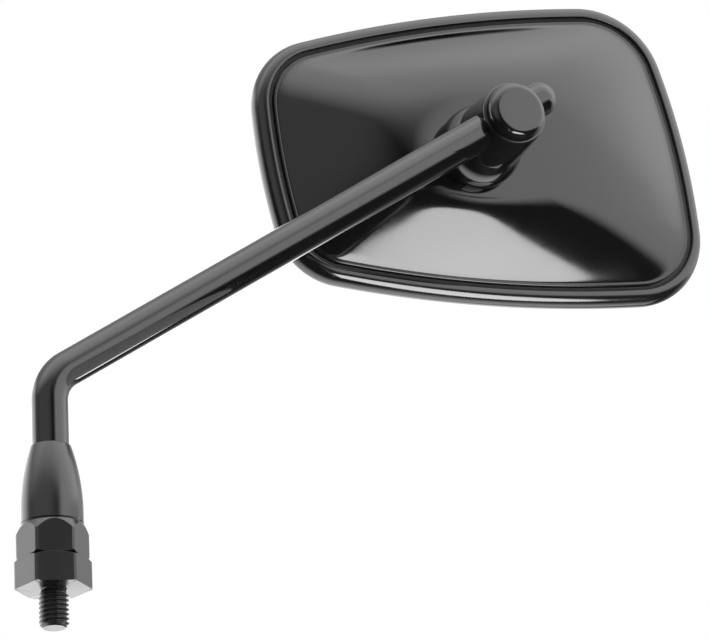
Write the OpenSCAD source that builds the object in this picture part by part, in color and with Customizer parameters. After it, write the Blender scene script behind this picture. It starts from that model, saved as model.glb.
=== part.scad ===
// Left-hand motorcycle mirror on a bent rod, with a ball joint behind its head.
// The origin is the centre of the adapter's seat face, +Z runs up the stem,
// the arm leans toward +X and the glass faces +Y.

/* [Stem] */
// Diameter of the stem rod
rod_d = 10; // [9:0.5:11]
// Height of the bend's corner above the seat face
bend_height = 58; // [54:1:80]
// Radius of the bend on the rod's centre line
bend_r = 11.2; // [10:0.2:14]
// Rise of the arm above the horizontal
arm_angle = 33; // [20:1:50]
// Length of the arm from the bend's corner to the knuckle
arm_run = 160.8; // [120:0.1:200]
// Length of rod past the knuckle's centre, to the centre of its round end
rod_overhang = 13; // [12:0.5:20]
// Diameter of the rod over its threaded foot, at the middle of the thread
rod_thread_d = 9.4; // [9:0.1:9.4]

/* [Foot] */
// Diameter of the stud that screws into the handlebar mount
stud_d = 8; // [6:1:10]
// Length of the stud below the seat face
stud_len = 10.5; // [8:0.5:20]
// Width across flats of the adapter
adapter_af = 18; // [17:1:22]
// Height of the adapter
adapter_h = 8.1; // [7:0.1:12]
// Depth of the tapped hole in the top of the adapter
adapter_hole = 6.7; // [4:0.1:6.8]
// Width across flats of the lock nut
nut_af = 17; // [16.5:0.5:20]
// Height of the lock nut's full corners
nut_corner_h = 6.2; // [5:0.1:9]
// Height of the lock nut's hexagon, with the cone above its corners
nut_hex_h = 9.1; // [8:0.1:12]
// Height of the bullet above the hexagon
bullet_h = 22; // [18:0.5:30]
// Height of the straight skirt at the bottom of the bullet
bullet_skirt = 3.8; // [2:0.1:6]
// Diameter of the bullet's skirt
bullet_d = 16.8; // [16:0.1:17]
// Diameter of the bullet's top
bullet_top_d = 10.9; // [10.6:0.1:12]
// Height of the thread inside the lock nut
nut_thread_h = 12.4; // [8:0.1:16]
// Turn of both hexagons about the stem
hex_turn = -12.5; // [-30:0.5:30]
// Radial clearance of the threads
thread_gap = 0.05; // [0.02:0.01:0.1]
// Radial clearance of plain bores around the rod
bore_gap = 0.1; // [0.05:0.01:0.1]

/* [Knuckle] */
// Diameter of the knuckle under its cap
knuckle_top_d = 18.6; // [18.4:0.1:20]
// Diameter of the knuckle at its open end
knuckle_low_d = 20.2; // [20:0.1:22]
// Distance from the rod's centre to the knuckle's cap end
knuckle_front = 7.1; // [6.9:0.1:8]
// Distance from the rod's centre to the knuckle's open end
knuckle_back = 10.1; // [9.5:0.1:10.4]
// Sideways offset of the knuckle's centre from the rod's centre
knuckle_offset = 0.9; // [0:0.1:1]
// Radius on the knuckle's front edge
knuckle_edge = 0.9; // [0.3:0.1:1]
// Diameter of the cap
cap_d = 16.8; // [16:0.1:18.4]
// Height of the cap
cap_h = 3.4; // [3:0.1:4]
// Radius on the cap's edge
cap_edge = 2.4; // [1:0.1:2.6]
// Depth and width of the groove that holds the cap
cap_groove = 0.8; // [0.5:0.1:0.9]

/* [Ball joint] */
// Distance from the rod's centre to the ball's centre
ball_back = 19.1; // [19:0.1:20]
// Diameter of the ball
ball_d = 18; // [17:0.1:18]
// Diameter of the neck between the ball and the knuckle
neck_d = 7.2; // [6:0.1:7.4]
// Diameter of the stud that clamps the knuckle to the rod
shank_d = 5; // [4:0.5:5]
// Diameter of the dome around the ball
dome_d = 23.8; // [23.4:0.1:24]
// Wall of the dome
dome_wall = 1.7; // [1.4:0.1:1.8]
// Half angle of the dome's opening
dome_opening = 47; // [46:0.5:50]
// Half angle of the seat's opening
seat_opening = 28; // [27:0.5:30]
// Angle from the joint's axis to the seat's inner edge
seat_edge = 88; // [84:1:89]
// Angle from the joint's axis to the edge of the pressure cup
cup_edge = 115; // [112:1:120]
// Clearance between each pair of spherical faces
ball_gap = 0.08; // [0.03:0.01:0.1]
// Radius of the dome housing's flange
flange_r = 18.6; // [18:0.1:19]
// Thickness of the flange
flange_t = 2.2; // [2:0.1:3]
// Thickness of the retainer plate
plate_t = 1.6; // [1.2:0.1:2]
// Thickness of each spring washer
spring_t = 0.9; // [0.7:0.1:1]
// Number of retainer screws
screw_count = 4; // [3:1:6]
// Radius of the screws' pitch circle
screw_pitch_r = 15.3; // [15:0.1:15.4]
// Diameter of the screws
screw_d = 2.9; // [2.5:0.1:3]

/* [Head outline] */
// Upper right corner: right of the ball, above the ball, radius
upper_right = [44.9, 32.7, 24.5]; // [-80:0.1:80]
// Upper left corner
upper_left = [-37.7, 16.2, 22]; // [-80:0.1:80]
// Lower left corner
lower_left = [-33.9, -15.9, 20.6]; // [-80:0.1:80]
// Lower right corner
lower_right = [55.2, -12.1, 22.9]; // [-80:0.1:80]
// Radius of the top side's bulge
top_bulge = 385; // [250:5:600]
// Radius of the left side's bulge
left_bulge = 192; // [120:2:300]
// Radius of the bottom side's bulge
bottom_bulge = 403; // [250:5:600]
// Radius of the right side's bulge
right_bulge = 206; // [120:2:300]

/* [Head section] */
// Distance from the ball's centre to the back of the bezel
bezel_back = 20.6; // [19:0.1:24]
// Height of the shell's crown over the back of the bezel
dome_rise = 16.6; // [15:0.1:17]
// Power of the shell's curve from its crown to its edge
dome_power = 2.4; // [2:0.1:3]
// Length of the oval that the crown's contours follow near the ball joint
oval_length = 120; // [105:1:126]
// Width of that oval
oval_width = 76; // [66:1:80]
// Wall of the shell
shell_wall = 2; // [1.5:0.1:2.2]
// Thickness of the shell's land round the dome
land_t = 4.4; // [4.2:0.1:5]
// Width of the bezel's back face
bezel_face = 3.9; // [3:0.1:4.4]
// Radius between the bezel's back face and its wall
bezel_round = 3.6; // [2.9:0.1:3.7]
// Thickness of the bezel's back face
bezel_t = 1.4; // [1.2:0.1:2]
// Wall of the bezel
bezel_wall = 1.9; // [1.5:0.1:2]
// Width of the groove between the bezel and the shell
groove_w = 1.1; // [0.6:0.1:1.5]
// Width of the shell's flat border inside the groove
border_w = 1.7; // [1:0.1:2.5]
// Thickness of the rim gasket
gasket_t = 0.4; // [0.3:0.1:0.6]
// Thickness of the shell's lip under the gasket
lip_t = 1; // [0.8:0.1:1.4]
// Thickness of the glass pad
pad_t = 0.4; // [0.3:0.1:0.8]
// Thickness of the mirror glass
glass_t = 1.6; // [1.4:0.1:2.5]
// Thickness of the bezel's front lip
front_lip_t = 0.7; // [0.6:0.1:1]
// Width of the bezel's front lip
front_lip_w = 2.9; // [2.6:0.1:3.5]

/* [Hidden] */
$fn = 64;
rod_r = rod_d / 2;
thread_r = rod_thread_d / 2;

// Heights along the stem
nut_z = adapter_h;
bullet_z = nut_z + nut_hex_h;
bullet_top_z = bullet_z + bullet_h;
hole_floor = adapter_h - adapter_hole;
// The thread moves the rod by half a pitch over half a turn, so it stops short of the floor
rod_foot_z = hole_floor + 0.9;
thread_top_z = nut_z + nut_thread_h + 1.5;
stud_chamfer = 0.7;
edge_cut = 0.6;

// Where the arm meets the knuckle, and the knuckle's own centre
bend_turn = 90 - arm_angle;
bend_tangent = bend_r * tan(bend_turn / 2);
bend_foot_z = bend_height - bend_tangent;
// The bend is this much thicker than the straight runs and laps over their ends
bend_swell = 0.02;
bend_lap = 0.1;
bend_lap_turn = 1;
arm_length = arm_run + rod_overhang - bend_tangent;
knuckle_x = arm_run * cos(arm_angle) + knuckle_offset * sin(arm_angle);
knuckle_z = bend_height + arm_run * sin(arm_angle) - knuckle_offset * cos(arm_angle);

// Knuckle fastening, with distances along the knuckle's centre line
recess_r = 5.2;
recess_depth = 1;
washer_t = 0.6;
nut_t = 2.4;
fastener_af = 8;
washer_z = knuckle_front - recess_depth;
fastener_z = washer_z + washer_t;
shank_end = fastener_z + nut_t;
cap_cavity_h = shank_end + 0.1 - knuckle_front;
groove_r = 6.1;

// Spherical faces of the joint
ball_r = ball_d / 2;
dome_r = dome_d / 2;
dome_in_r = dome_r - dome_wall;
seat_in_r = ball_r + ball_gap;
seat_out_r = dome_in_r - ball_gap;
knuckle_hollow_r = dome_r + 0.5;
shoulder_z = knuckle_hollow_r + 0.1;

// Levels in the head, measured from the ball's centre and positive toward the knuckle
crown_z = dome_rise - bezel_back;
collar_r = sqrt(dome_r * dome_r - crown_z * crown_z);
hole_r = collar_r + bore_gap;
// The shell's crown starts inside the hole, which is cut round afterwards
start_r = hole_r - 0.4;
land_z = crown_z - land_t;
land_r = flange_r + 0.6;
boss_gasket_t = 0.6;
flange_top = land_z - boss_gasket_t;
flange_low = flange_top - flange_t;
screw_tip = land_z + 2.6;
screw_head_h = 1.8;
spring_in_r = 5.5;
spring_out_r = 9;
spring_slope = 1.1;
spring_top = -sqrt(seat_out_r * seat_out_r - spring_in_r * spring_in_r) - 0.12;
spring_mid = spring_top - spring_slope - spring_t;
dish_floor = spring_mid - spring_slope - spring_t;
dish_r = spring_out_r + 0.6;

// Levels of the rim
border_z = -bezel_back;
gasket_z = border_z - bezel_t;
lip_z = gasket_z - gasket_t;
pad_z = lip_z - lip_t;
glass_z = pad_z - pad_t;
front_z = glass_z - glass_t;
bezel_front = front_z - front_lip_t;
step_in = bezel_face + groove_w;
crown_in = step_in + border_w;
rim_gap = 0.1;

// Colours
gloss_black = [0.06, 0.06, 0.065];
satin_black = [0.12, 0.12, 0.125];
zinc = [0.62, 0.63, 0.64];
nylon = [0.16, 0.16, 0.16];
rubber = [0.03, 0.03, 0.03];
mirror = [0.78, 0.82, 0.85];

// Outline of the head: four corner arcs joined by four bulging sides
corners = [upper_right, upper_left, lower_left, lower_right];
bulges = [top_bulge, left_bulge, bottom_bulge, right_bulge];
corner_steps = 12;
side_steps = 6;

function heading(from, to) = atan2(to.y - from.y, to.x - from.x);
function after(angle, start) = start + (angle - start + 720) % 360;

// Centre of the large arc that touches both corner arcs from outside
function side_centre(a, b, bulge) =
    let (
        ra = bulge - a.z,
        rb = bulge - b.z,
        run = [b.x - a.x, b.y - a.y],
        length = norm(run),
        along = (ra * ra - rb * rb + length * length) / (2 * length),
        high = sqrt(ra * ra - along * along)
    )
    [a.x + (along * run.x - high * run.y) / length,
        a.y + (along * run.y + high * run.x) / length];

side_centres = [for (i = [0:3]) side_centre(corners[i], corners[(i + 1) % 4], bulges[i])];

// Each station is [centre x, centre y, radius, angle]
stations = [for (i = [0:3])
    let (
        c = corners[i],
        next = corners[(i + 1) % 4],
        before = side_centres[(i + 3) % 4],
        side = side_centres[i],
        first = heading(before, c),
        middle = after(heading(side, c), first),
        last = after(heading(side, next), middle)
    )
    each concat(
        [for (k = [0:corner_steps - 1]) [c.x, c.y, c.z, first + (middle - first) * k / corner_steps]],
        [for (k = [0:side_steps - 1])
            [side.x, side.y, bulges[i], middle + (last - middle) * k / side_steps]]
    )];

// The outline, moved inward by inset
function rim_point(s, inset) = [s.x + (s.z - inset) * cos(s[3]), s.y + (s.z - inset) * sin(s[3])];
function rim(inset) = [for (s = stations) rim_point(s, inset)];
function lift(points, z) = [for (p = points) [p.x, p.y, z]];
function ring(r, z) = [for (p = rim(crown_in)) concat(p * r / norm(p), z)];

// Distance from the dome's axis to the oval, toward the rim point p
oval_centre = [9, 9];
oval_tilt = 10;
function oval_reach(p) =
    let (
        turn = [[cos(oval_tilt), sin(oval_tilt)], [-sin(oval_tilt), cos(oval_tilt)]],
        scale = [[2 / oval_length, 0], [0, 2 / oval_width]],
        u = scale * turn * p / norm(p),
        v = scale * turn * oval_centre
    )
    (u * v + sqrt(pow(u * v, 2) - (u * u) * (v * v - 1))) / (u * u);

// The shell's crown, where s runs from the hole at 0 to the border at 1.
// Its contours start as the oval and end as the border's outline
function crown_level(s) = border_z + dome_rise * (1 - pow(s, dome_power));
function crown_reach(p, s) = s * s * norm(p) + (1 - s * s) * oval_reach(p);
function crown_point(p, s) = p / norm(p) * (start_r + s * (crown_reach(p, s) - start_r));
function crown_slope(p, s) =
    let (growth = oval_reach(p) + 3 * s * s * (norm(p) - oval_reach(p)) - start_r)
    dome_rise * dome_power * pow(s, dome_power - 1) / growth;
function inner_level(p, s) =
    max(pad_z, crown_level(s) - shell_wall * sqrt(1 + pow(crown_slope(p, s), 2)));
function crown_ring(s) = [for (p = rim(crown_in)) concat(crown_point(p, s), crown_level(s))];
// t runs from the land at 0 to the lip at 1
function inner_ring(t) = [for (p = rim(crown_in))
    let (start = (land_r + 0.4 - start_r) / (oval_reach(p) - start_r), s = start + (1 - start) * t)
    concat(crown_point(p, s), inner_level(p, s))];

// Closed solid from rings that run round a section, the last joined to the first
module ring_solid(rings) {
    n = len(rings[0]);
    m = len(rings);
    points = [for (r = rings) each r];
    faces = [for (j = [0:m - 1], i = [0:n - 1])
        let (
            a = j * n + i,
            b = j * n + (i + 1) % n,
            c = ((j + 1) % m) * n + (i + 1) % n,
            d = ((j + 1) % m) * n + i
        )
        each [[a, b, c], [a, c, d]]];
    polyhedron(points = points, faces = faces, convexity = 6);
}

// Places its children at the knuckle, with z toward the cap and y up
module at_knuckle() translate([knuckle_x, 0, knuckle_z]) rotate([90, 0, 0]) children();

// Places its children at the ball's centre, in the same directions
module at_ball() at_knuckle() translate([0, 0, -ball_back]) children();

// Hexagonal blank with its corners chamfered; low and high are [width, height] at the corners
module hexagon_blank(af, h, low, high) {
    corner_r = af / 2 / cos(30);
    past = 0.5;
    intersection() {
        cylinder(r = corner_r, h = h, $fn = 6);
        rotate_extrude() polygon([[0, 0], [corner_r - low.x, 0],
            [corner_r + past, low.y * (1 + past / low.x)],
            [corner_r + past, h - high.y * (1 + past / high.x)],
            [corner_r - high.x, h], [0, h]]);
    }
}

// Half-plane wedge between two angles from the z axis, to cut a revolved section
module wedge(first, last) {
    reach = 3 * dome_r;
    polygon([[0, 0],
        for (a = [first, (first + last) / 2, last]) [reach * sin(a), reach * cos(a)]]);
}

module ball_zone(r_in, r_out, first, last) {
    rotate_extrude() intersection() {
        difference() {
            circle(r = r_out);
            circle(r = r_in);
        }
        wedge(first, last);
    }
}

module adapter() {
    chamfer_w = adapter_af / 2 / cos(30) - adapter_af / 2 + edge_cut / 2;
    color(satin_black) difference() {
        union() {
            rotate([0, 0, hex_turn]) hexagon_blank(adapter_af, adapter_h,
                [edge_cut / 2, edge_cut / 2], [chamfer_w, chamfer_w * tan(28)]);
            rotate_extrude() polygon([[0, 1], [0, -stud_len], [stud_d / 2 - stud_chamfer, -stud_len],
                [stud_d / 2, stud_chamfer - stud_len], [stud_d / 2, 1]]);
        }
        translate([0, 0, hole_floor]) cylinder(r = thread_r + thread_gap, h = adapter_hole + 1);
    }
}

// Radius of the bullet at a height above its foot
function bullet_radius(z) =
    let (
        drop = (bullet_d - bullet_top_d) / 2,
        rise = bullet_h - bullet_skirt,
        arc = (rise * rise + drop * drop) / (2 * drop),
        up = max(0, z - bullet_skirt)
    )
    bullet_d / 2 - arc + sqrt(arc * arc - up * up);

module lock_nut() {
    corner_r = nut_af / 2 / cos(30);
    neck = 0.25;
    arc_steps = 12;
    step = (bullet_h - bullet_skirt) / arc_steps;
    color(satin_black) difference() {
        union() {
            translate([0, 0, nut_z]) rotate([0, 0, hex_turn]) hexagon_blank(nut_af, nut_hex_h,
                [edge_cut, edge_cut], [corner_r - bullet_d / 2, nut_hex_h - nut_corner_h]);
            rotate_extrude() polygon([[0, bullet_z - 1],
                [bullet_d / 2 - neck, bullet_z - 1],
                [bullet_d / 2 - neck, bullet_z + neck],
                [bullet_d / 2, bullet_z + 2 * neck],
                for (k = [0:arc_steps])
                    let (z = bullet_skirt + k * step) [bullet_radius(z), bullet_z + z],
                [0, bullet_top_z]]);
        }
        translate([0, 0, nut_z - 1]) cylinder(r = thread_r + thread_gap, h = nut_thread_h + 2);
        translate([0, 0, nut_z + nut_thread_h]) cylinder(r = rod_r + bore_gap, h = bullet_top_z);
    }
}

module stem_rod() {
    color(gloss_black) difference() {
        union() {
            rotate_extrude() polygon([[0, rod_foot_z], [thread_r - edge_cut, rod_foot_z],
                [thread_r, rod_foot_z + edge_cut], [thread_r, thread_top_z],
                [rod_r, thread_top_z + rod_r - thread_r], [rod_r, bend_foot_z + bend_lap],
                [0, bend_foot_z + bend_lap]]);
            translate([bend_r, 0, bend_foot_z]) rotate([90, 0, 180]) rotate([0, 0, -bend_lap_turn])
                rotate_extrude(angle = bend_turn + 2 * bend_lap_turn) translate([bend_r, 0])
                    circle(r = rod_r + bend_swell);
            translate([0, 0, bend_height]) rotate([0, bend_turn, 0])
                translate([0, 0, bend_tangent - bend_lap]) rotate_extrude() {
                    square([rod_r, arm_length + bend_lap]);
                    intersection() {
                        translate([0, arm_length + bend_lap]) circle(r = rod_r);
                        translate([0, arm_length]) square(rod_r + 1);
                    }
                }
        }
        at_knuckle() translate([0, 0, -rod_d]) cylinder(d = shank_d + 2 * bore_gap, h = 2 * rod_d);
    }
}

module knuckle_body() {
    top_r = knuckle_top_d / 2;
    color(gloss_black) at_knuckle() difference() {
        rotate_extrude() polygon([[0, -knuckle_back],
            [knuckle_low_d / 2 - 0.4, -knuckle_back], [knuckle_low_d / 2, 0.4 - knuckle_back],
            for (a = [0:22.5:90])
                [top_r - knuckle_edge * (1 - cos(a)), knuckle_front - knuckle_edge * (1 - sin(a))],
            [0, knuckle_front]]);
        translate([0, 0, -ball_back]) sphere(r = knuckle_hollow_r);
        translate([0, 0, -ball_back]) cylinder(d = neck_d + 2 * bore_gap, h = shoulder_z);
        rotate([0, 0, arm_angle]) translate([0, knuckle_offset, 0]) rotate([0, 90, 0])
            cylinder(r = rod_r + bore_gap / 2, h = 3 * top_r, center = true);
        translate([0, 0, -ball_back]) cylinder(d = shank_d + 2 * bore_gap, h = 2 * ball_back);
        translate([0, 0, washer_z]) cylinder(r = recess_r, h = 2 * recess_depth);
        translate([0, 0, knuckle_front - cap_groove]) difference() {
            cylinder(r = groove_r + cap_groove + 0.05, h = 2 * cap_groove);
            translate([0, 0, -1]) cylinder(r = groove_r - 0.05, h = 4 * cap_groove);
        }
    }
}

module knuckle_washer() {
    color(zinc) at_knuckle() translate([0, 0, washer_z]) difference() {
        cylinder(r = recess_r - 0.2, h = washer_t);
        translate([0, 0, -1]) cylinder(d = shank_d + 2 * bore_gap, h = washer_t + 2);
    }
}

module knuckle_nut() {
    cut = [edge_cut, edge_cut / 2];
    color(zinc) at_knuckle() translate([0, 0, fastener_z]) difference() {
        hexagon_blank(fastener_af, nut_t, cut, cut);
        translate([0, 0, -1]) cylinder(d = shank_d + 2 * thread_gap, h = nut_t + 2);
    }
}

module knuckle_cap() {
    cap_r = cap_d / 2;
    skirt = cap_h - cap_edge;
    color(gloss_black) at_knuckle() translate([0, 0, knuckle_front]) {
        rotate_extrude() polygon([[0, cap_cavity_h], [recess_r, cap_cavity_h], [recess_r, 0],
            [groove_r, 0], [groove_r, -cap_groove + 0.1],
            [groove_r + cap_groove, -cap_groove + 0.1], [groove_r + cap_groove, 0], [cap_r - 0.2, 0],
            [cap_r, 0.2],
            for (a = [0:11.25:90])
                [cap_r - 0.1 - cap_edge * (1 - cos(a)), skirt + cap_edge * sin(a)],
            [0, cap_h]]);
    }
}

module ball_stud() {
    shank_h = ball_back + shank_end;
    color(zinc) at_ball() {
        sphere(r = ball_r);
        rotate_extrude() polygon([[0, 0], [neck_d / 2, 0], [neck_d / 2, shoulder_z],
            [shank_d / 2, shoulder_z], [shank_d / 2, shank_h - 0.4], [shank_d / 2 - 0.4, shank_h],
            [0, shank_h]]);
    }
}

module ball_housing() {
    opening = dome_opening;
    color(gloss_black) at_ball() difference() {
        rotate_extrude() difference() {
            union() {
                intersection() {
                    circle(r = dome_r);
                    polygon([[0, 0], [dome_r * 2 * sin(opening), dome_r * 2 * cos(opening)],
                        [dome_r * 2, 0], [dome_r * 2, crown_z], [0, crown_z]]);
                }
                translate([0, flange_low]) square([collar_r, crown_z - flange_low]);
                translate([0, flange_low]) square([flange_r, flange_t]);
            }
            circle(r = dome_in_r);
            translate([0, flange_low - 1]) square([dome_in_r, 1 - flange_low]);
        }
        screw_holes(flange_low - 1, flange_top + 0.5, screw_d / 2 + 0.15);
    }
}

module ball_seat() {
    color(nylon) at_ball() ball_zone(seat_in_r, seat_out_r, seat_opening, seat_edge);
}

module pressure_cup() {
    color(nylon) at_ball() ball_zone(seat_in_r, seat_out_r, cup_edge, 180);
}

// Two spring washers, set outer edge to outer edge
module joint_spring() {
    color(zinc) at_ball() rotate_extrude() {
        polygon([[spring_in_r, spring_top], [spring_out_r, spring_top - spring_slope],
            [spring_out_r, spring_mid], [spring_in_r, spring_mid + spring_slope]]);
    }
    color(zinc) at_ball() rotate_extrude() {
        polygon([[spring_in_r, dish_floor], [spring_out_r, dish_floor + spring_slope],
            [spring_out_r, spring_mid - 0.02], [spring_in_r, spring_mid - spring_slope - 0.02]]);
    }
}

// Through holes for the retainer screws between two levels
module screw_holes(low, high, r) {
    for (k = [0:screw_count - 1])
        rotate([0, 0, 45 + 360 * k / screw_count]) translate([screw_pitch_r, 0, low])
            cylinder(r = r, h = high - low, $fn = 32);
}

module retainer_plate() {
    wall_r = dish_r + plate_t;
    color(zinc) at_ball() difference() {
        rotate_extrude() polygon([[2.5, dish_floor], [dish_r, dish_floor], [dish_r, flange_low],
            [flange_r, flange_low], [flange_r, flange_low - plate_t], [wall_r, flange_low - plate_t],
            [wall_r, dish_floor - plate_t], [2.5, dish_floor - plate_t]]);
        screw_holes(flange_low - plate_t - 1, flange_low + 1, screw_d / 2 + 0.15);
    }
}

module retainer_screws() {
    seat = flange_low - plate_t;
    head_r = 2.6;
    color(zinc) at_ball() for (k = [0:screw_count - 1])
        rotate([0, 0, 45 + 360 * k / screw_count]) translate([screw_pitch_r, 0, 0])
            rotate_extrude($fn = 32) polygon([[0, seat - screw_head_h + 0.6],
                [1, seat - screw_head_h + 0.6], [1, seat - screw_head_h],
                [head_r - 0.6, seat - screw_head_h], [head_r, seat - screw_head_h + 0.6],
                [head_r, seat], [screw_d / 2, seat], [screw_d / 2, screw_tip - 0.5], [0.6, screw_tip],
                [0, screw_tip]]);
}

module boss_gasket() {
    color(rubber) at_ball() difference() {
        translate([0, 0, flange_top]) cylinder(r = flange_r, h = boss_gasket_t);
        translate([0, 0, flange_top - 1]) cylinder(r = hole_r, h = boss_gasket_t + 2);
        screw_holes(flange_top - 1, land_z + 1, screw_d / 2 + 0.15);
    }
}

module shell() {
    crown_steps = 9;
    inner_steps = 6;
    edge = 0.4;
    lip_in = bezel_wall + rim_gap;
    color(gloss_black) at_ball() difference() {
        ring_solid(concat(
            [for (k = [0:crown_steps]) crown_ring(k / crown_steps)],
            [lift(rim(step_in + edge), border_z)],
            [lift(rim(step_in + edge * 0.3), border_z - edge * 0.3)],
            [lift(rim(step_in), border_z - edge)],
            [lift(rim(step_in), lip_z)],
            [lift(rim(lip_in), lip_z)],
            [lift(rim(lip_in), pad_z)],
            [for (k = [inner_steps:-1:0]) inner_ring(k / inner_steps)],
            [ring(land_r, land_z)],
            [ring(start_r, land_z)]));
        translate([0, 0, land_z - 1]) cylinder(r = hole_r, h = land_t + 2);
        screw_holes(land_z - 1, screw_tip + 0.3, screw_d / 2 + 0.03);
    }
}

module rim_gasket() {
    color(rubber) at_ball() translate([0, 0, lip_z]) linear_extrude(gasket_t) difference() {
        polygon(rim(bezel_wall + rim_gap));
        polygon(rim(step_in - rim_gap));
    }
}

// Section of the bezel as [inset, level] pairs, from its inner back edge outward and round
function bezel_section() = concat(
    [[bezel_face, border_z - 0.4], [bezel_face - 0.1, border_z - 0.12]],
    [for (a = [0:15:90])
        [bezel_round * (1 - sin(a)), border_z - bezel_round * (1 - cos(a))]],
    [[0, bezel_front + 0.8], [0.2, bezel_front + 0.3], [0.7, bezel_front],
        [front_lip_w, bezel_front], [front_lip_w, front_z]],
    [[bezel_wall, front_z], [bezel_wall, gasket_z], [bezel_face, gasket_z]]);

module bezel() {
    color(satin_black) at_ball() ring_solid([for (p = bezel_section()) lift(rim(p[0]), p[1])]);
}

module glass_pad() {
    color(rubber) at_ball() translate([0, 0, glass_z]) linear_extrude(pad_t)
        polygon(rim(bezel_wall + 2 * rim_gap));
}

module glass() {
    color(mirror) at_ball() translate([0, 0, front_z]) linear_extrude(glass_t)
        polygon(rim(bezel_wall + rim_gap));
}

adapter();
lock_nut();
stem_rod();
knuckle_body();
knuckle_washer();
knuckle_nut();
knuckle_cap();
ball_stud();
ball_housing();
ball_seat();
pressure_cup();
joint_spring();
retainer_plate();
retainer_screws();
boss_gasket();
shell();
rim_gasket();
bezel();
glass_pad();
glass();
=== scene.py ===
"""Dresses the handlebar mirror: fine shapes, finishes, light and camera."""
import logging
import math
from collections.abc import Callable, Sequence
from dataclasses import dataclass, field
from enum import Enum
from typing import Any

import bmesh
import bpy
from mathutils import Matrix, Vector


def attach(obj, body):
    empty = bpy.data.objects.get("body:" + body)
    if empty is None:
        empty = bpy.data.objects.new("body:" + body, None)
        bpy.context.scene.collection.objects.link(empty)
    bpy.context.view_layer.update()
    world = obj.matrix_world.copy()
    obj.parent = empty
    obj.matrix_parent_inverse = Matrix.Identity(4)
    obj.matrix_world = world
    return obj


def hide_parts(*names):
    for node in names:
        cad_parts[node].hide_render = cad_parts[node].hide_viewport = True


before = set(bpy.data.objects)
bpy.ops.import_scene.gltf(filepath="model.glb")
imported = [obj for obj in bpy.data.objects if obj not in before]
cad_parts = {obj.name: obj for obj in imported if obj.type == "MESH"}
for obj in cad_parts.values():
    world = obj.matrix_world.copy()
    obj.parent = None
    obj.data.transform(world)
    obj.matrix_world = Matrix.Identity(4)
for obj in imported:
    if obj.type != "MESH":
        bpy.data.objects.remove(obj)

log = logging.getLogger("mirror")

MM = 0.001

Point2 = tuple[float, float]
Point3 = tuple[float, float, float]
Ring = list[Point3]
Node = bpy.types.Node
Object = bpy.types.Object
Socket = bpy.types.NodeSocket
Tree = bpy.types.NodeTree


class Grain(Enum):
    """How fine relief runs over a surface."""

    PEEL = "peel"
    TURNED = "turned"
    TURNED_SIDEWAYS = "turned sideways"
    PEBBLE = "pebble"


class Close(Enum):
    """How a row of rings becomes a closed skin."""

    CAPS = "caps"
    LOOP = "loop"


def add_node(tree: Tree, kind: str, inputs: dict[str | int, Any], **settings: str) -> Node:
    """Adds a node.

    Args:
        tree: the nodes that it joins.
        kind: its type.
        inputs: the value or the socket that each input gets.
        settings: its other properties.

    Returns:
        The node.
    """
    node = tree.nodes.new(kind)
    for name, value in settings.items():
        setattr(node, name, value)
    for name, value in inputs.items():
        if isinstance(value, Socket):
            tree.links.new(value, node.inputs[name])
        else:
            node.inputs[name].default_value = value
    return node


@dataclass(frozen=True)
class Finish:
    """One surface finish, made as a node material.

    Attributes:
        name: name of the material.
        grey: base colour, as linear red, green and blue.
        roughness: middle roughness of the surface.
        metallic: 1 for bare metal, 0 for paint, plastic and rubber.
        grain: direction and kind of the fine relief.
        grain_mm: size of the relief's features.
        grain_depth_mm: height of the relief.
        smudge: how far the roughness drifts up and down.
        specular: strength of the reflection.
        smudge_mm: size of the patches that differ in roughness.
        speck_mm: size of the patches that differ in colour.
        speck: how far the colour goes up and down, as a share.
    """

    name: str
    grey: Point3
    roughness: float
    metallic: float = 0.0
    grain: Grain = Grain.PEEL
    grain_mm: float = 0.8
    grain_depth_mm: float = 0.002
    smudge: float = 0.05
    specular: float = 0.5
    smudge_mm: float = 18.0
    speck_mm: float = 3.0
    speck: float = 0.15

    def material(self) -> bpy.types.Material:
        """Builds the material, or returns it if it is there already.

        Returns:
            The node material of this finish.
        """
        found = bpy.data.materials.get(self.name)
        if found:
            return found
        made = bpy.data.materials.new(self.name)
        made.use_nodes = True
        tree = made.node_tree
        shader = tree.nodes["Principled BSDF"]
        shader.inputs["Metallic"].default_value = self.metallic
        shader.inputs["Specular IOR Level"].default_value = self.specular
        place = tree.nodes.new("ShaderNodeTexCoord").outputs["Object"]
        for name, value in Surface(self, tree, place).drift().items():
            tree.links.new(value, shader.inputs[name])
        return made


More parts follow.
